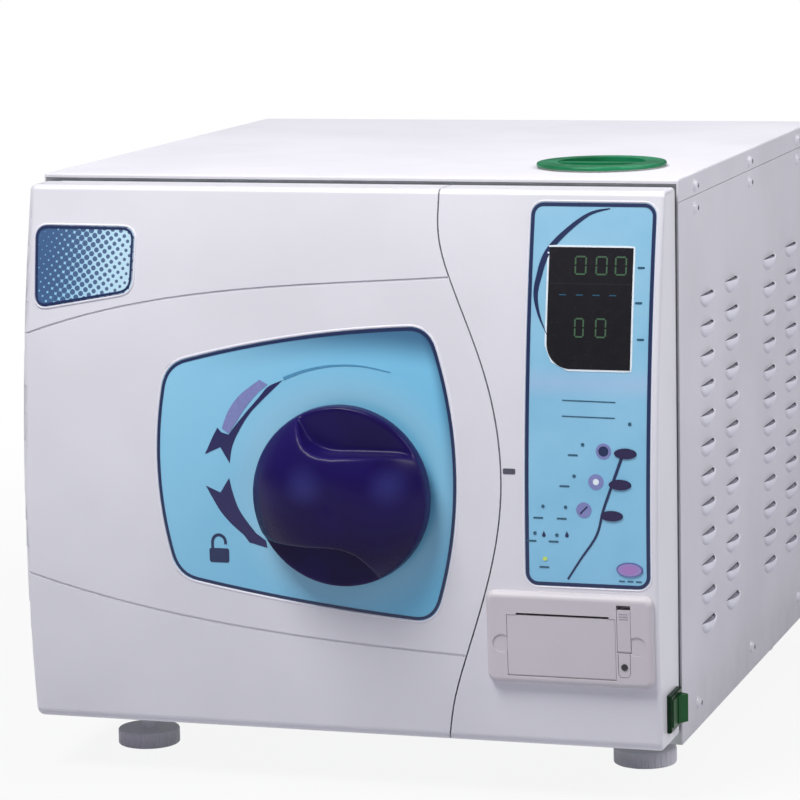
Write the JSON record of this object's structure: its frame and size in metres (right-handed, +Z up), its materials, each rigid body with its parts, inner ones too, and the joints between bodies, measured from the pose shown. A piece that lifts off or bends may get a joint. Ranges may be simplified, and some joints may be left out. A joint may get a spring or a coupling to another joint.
{
  "type": "benchtop steam autoclave",
  "caption": "Benchtop steam steriliser with a side-hung curved front door, big locking knob, control fascia with printer, louvred case and water filler cap.",
  "frame": {"origin": "middle of the bounding box, at the bench under the feet", "axes": "+Z up, +Y from the front door towards the rear panel, +X to the right seen from the front"},
  "size_m": [0.4936, 0.6238, 0.443],
  "materials": {
    "case_paint": "satin",
    "zinc_sheet": "satin",
    "screw_zinc": "gloss",
    "foot_rubber": "matte",
    "chamber_steel": "brushed",
    "rack_steel": "brushed",
    "jacket_foam": "matte",
    "seal_silicone": "matte",
    "moulded_shell": "satin",
    "blue_panel": "gloss",
    "badge_film": "gloss",
    "arm_steel": "satin",
    "knob_plastic": "gloss",
    "overlay_film": "satin",
    "display_glass": "gloss",
    "circuit_board": "satin",
    "key_rubber": "matte",
    "start_key_rubber": "matte",
    "printer_plastic": "matte",
    "lever_plastic": "matte",
    "platen_rubber": "matte",
    "paper": "matte",
    "switch_black": "satin",
    "switch_green": "gloss",
    "generator_metal": "satin",
    "pump_metal": "cast",
    "valve_metal": "satin",
    "condenser_metal": "satin",
    "fan_plastic": "matte",
    "valve_brass": "satin",
    "tank_plastic": "satin",
    "cap_plastic": "satin",
    "inlet_plastic": "satin"
  },
  "bodies": {
    "case": {"base_pan": "zinc_sheet", "case_screws": "screw_zinc", "chamber": "chamber_steel", "condenser": "condenser_metal", "control_board": "circuit_board", "control_fascia": "moulded_shell", "control_overlay": "overlay_film", "display_window": "display_glass", "drain_fittings": "valve_brass", "fan_frame": "fan_plastic", "filler_neck": "tank_plastic", "front_bulkhead": "zinc_sheet", "hinge_brackets": "zinc_sheet", "insulation_jacket": "jacket_foam", "left_side_panel": "case_paint", "locking_ring": "chamber_steel", "main_board": "circuit_board", "mains_inlet": "inlet_plastic", "printer_case": "printer_plastic", "pump_valve_block": "valve_metal", "rear_feet": "foot_rubber", "rear_panel": "case_paint", "right_side_panel": "case_paint", "safety_valve": "valve_brass", "steam_generator": "generator_metal", "steam_pipes": "valve_brass", "switch_frame": "switch_black", "top_cover": "case_paint", "tray_rack": "rack_steel", "vacuum_pump": "pump_metal", "water_tank": "tank_plastic"},
    "door": {"door_cover": "moulded_shell", "door_panel": "blue_panel", "door_badge": "badge_film", "door_plate": "chamber_steel", "door_gasket": "seal_silicone", "door_arm": "arm_steel", "door_liner": "moulded_shell"},
    "knob_and_cam": {"knob": "knob_plastic", "lock_spindle": "arm_steel"},
    "right_bolt": {"right_lock_bolt": "arm_steel"},
    "upper_bolt": {"upper_lock_bolt": "arm_steel"},
    "left_bolt": {"left_lock_bolt": "arm_steel"},
    "lower_bolt": {"lower_lock_bolt": "arm_steel"},
    "bottom_tray_body": {"bottom_tray": "rack_steel"},
    "middle_tray_body": {"middle_tray": "rack_steel"},
    "top_tray_body": {"top_tray": "rack_steel"},
    "front_left_foot_body": {"front_left_foot": "foot_rubber"},
    "front_right_foot_body": {"front_right_foot": "foot_rubber"},
    "filler_cap_body": {"filler_cap": "cap_plastic"},
    "top_mode_key_body": {"top_mode_key": "key_rubber"},
    "middle_mode_key_body": {"middle_mode_key": "key_rubber"},
    "lower_mode_key_body": {"lower_mode_key": "key_rubber"},
    "start_key_body": {"start_key": "start_key_rubber"},
    "printer_door_body": {"printer_door": "printer_plastic"},
    "platen_body": {"platen_roller": "platen_rubber"},
    "paper_roll_body": {"paper_roll": "paper"},
    "printer_lever_body": {"printer_lever": "lever_plastic"},
    "rocker_body": {"switch_rocker": "switch_green"},
    "impeller_body": {"fan_impeller": "fan_plastic"}
  },
  "joints": [
    {"name": "door_swing", "type": "hinge", "parent": "case", "child": "door", "pos_m": [-0.22932, -0.21609, 0.2195], "axis": [0, 0, -1], "range_deg": [0, 105]},
    {"name": "knob_turn", "type": "hinge", "parent": "door", "child": "knob_and_cam", "pos_m": [0.01068, -0.26609, 0.2195], "axis": [0, 1, 0], "range_deg": [0, 90]},
    {"name": "right_bolt_slide", "type": "slide", "parent": "door", "child": "right_bolt", "axis": [1, 0, 0], "range_m": [0, 0.012]},
    {"name": "upper_bolt_slide", "type": "slide", "parent": "door", "child": "upper_bolt", "axis": [0, 0, 1], "range_m": [0, 0.012]},
    {"name": "left_bolt_slide", "type": "slide", "parent": "door", "child": "left_bolt", "axis": [-1, 0, 0], "range_m": [0, 0.012]},
    {"name": "lower_bolt_slide", "type": "slide", "parent": "door", "child": "lower_bolt", "axis": [0, 0, -1], "range_m": [0, 0.012]},
    {"name": "bottom_tray_slide", "type": "slide", "parent": "case", "child": "bottom_tray_body", "axis": [0, -1, 0], "range_m": [0, 0.02]},
    {"name": "middle_tray_slide", "type": "slide", "parent": "case", "child": "middle_tray_body", "axis": [0, -1, 0], "range_m": [0, 0.02]},
    {"name": "top_tray_slide", "type": "slide", "parent": "case", "child": "top_tray_body", "axis": [0, -1, 0], "range_m": [0, 0.02]},
    {"name": "front_left_foot_turn", "type": "hinge", "parent": "case", "child": "front_left_foot_body", "pos_m": [-0.18732, -0.16209, 0], "axis": [0, 0, 1], "continuous": true},
    {"name": "front_right_foot_turn", "type": "hinge", "parent": "case", "child": "front_right_foot_body", "pos_m": [0.19468, -0.13309, 0], "axis": [0, 0, 1], "continuous": true},
    {"name": "filler_cap_lift", "type": "slide", "parent": "case", "child": "filler_cap_body", "axis": [0, 0, 1], "range_m": [0, 0.08]},
    {"name": "top_mode_key_press", "type": "slide", "parent": "case", "child": "top_mode_key_body", "axis": [0, 0.9974, -0.0721], "range_m": [0, 0.0006], "stiffness_N_per_m": 400},
    {"name": "middle_mode_key_press", "type": "slide", "parent": "case", "child": "middle_mode_key_body", "axis": [0, 0.9987, -0.0502], "range_m": [0, 0.0006], "stiffness_N_per_m": 400},
    {"name": "lower_mode_key_press", "type": "slide", "parent": "case", "child": "lower_mode_key_body", "axis": [0, 0.9996, -0.0281], "range_m": [0, 0.0006], "stiffness_N_per_m": 400},
    {"name": "start_key_press", "type": "slide", "parent": "case", "child": "start_key_body", "axis": [0, 1, 0.0095], "range_m": [0, 0.0006], "stiffness_N_per_m": 400},
    {"name": "printer_door_swing", "type": "hinge", "parent": "case", "child": "printer_door_body", "pos_m": [0.17368, -0.26608, 0.09478], "axis": [1, 0, 0], "range_deg": [0, 80]},
    {"name": "platen_turn", "type": "hinge", "parent": "printer_door_body", "child": "platen_body", "pos_m": [0.17368, -0.26164, 0.13112], "axis": [1, 0, 0], "continuous": true},
    {"name": "paper_roll_turn", "type": "hinge", "parent": "case", "child": "paper_roll_body", "pos_m": [0.17368, -0.2331, 0.11984], "axis": [1, 0, 0], "continuous": true},
    {"name": "printer_lever_swing", "type": "hinge", "parent": "case", "child": "printer_lever_body", "pos_m": [0.17368, -0.26709, 0.11535], "axis": [1, 0, 0], "range_deg": [0, 60]},
    {"name": "rocker_swing", "type": "hinge", "parent": "case", "child": "rocker_body", "pos_m": [0.23748, -0.22509, 0.064], "axis": [0, 0, 1], "range_deg": [0, 28]},
    {"name": "fan_turn", "type": "hinge", "parent": "case", "child": "impeller_body", "pos_m": [-0.16832, 0.27571, 0.26], "axis": [0, 1, 0], "continuous": true}
  ],
  "couplings": [
    {"joint": "right_bolt_slide", "follows": "knob_turn", "m_per_rad": 0.007639},
    {"joint": "upper_bolt_slide", "follows": "knob_turn", "m_per_rad": 0.007639},
    {"joint": "left_bolt_slide", "follows": "knob_turn", "m_per_rad": 0.007639},
    {"joint": "lower_bolt_slide", "follows": "knob_turn", "m_per_rad": 0.007639}
  ]
}
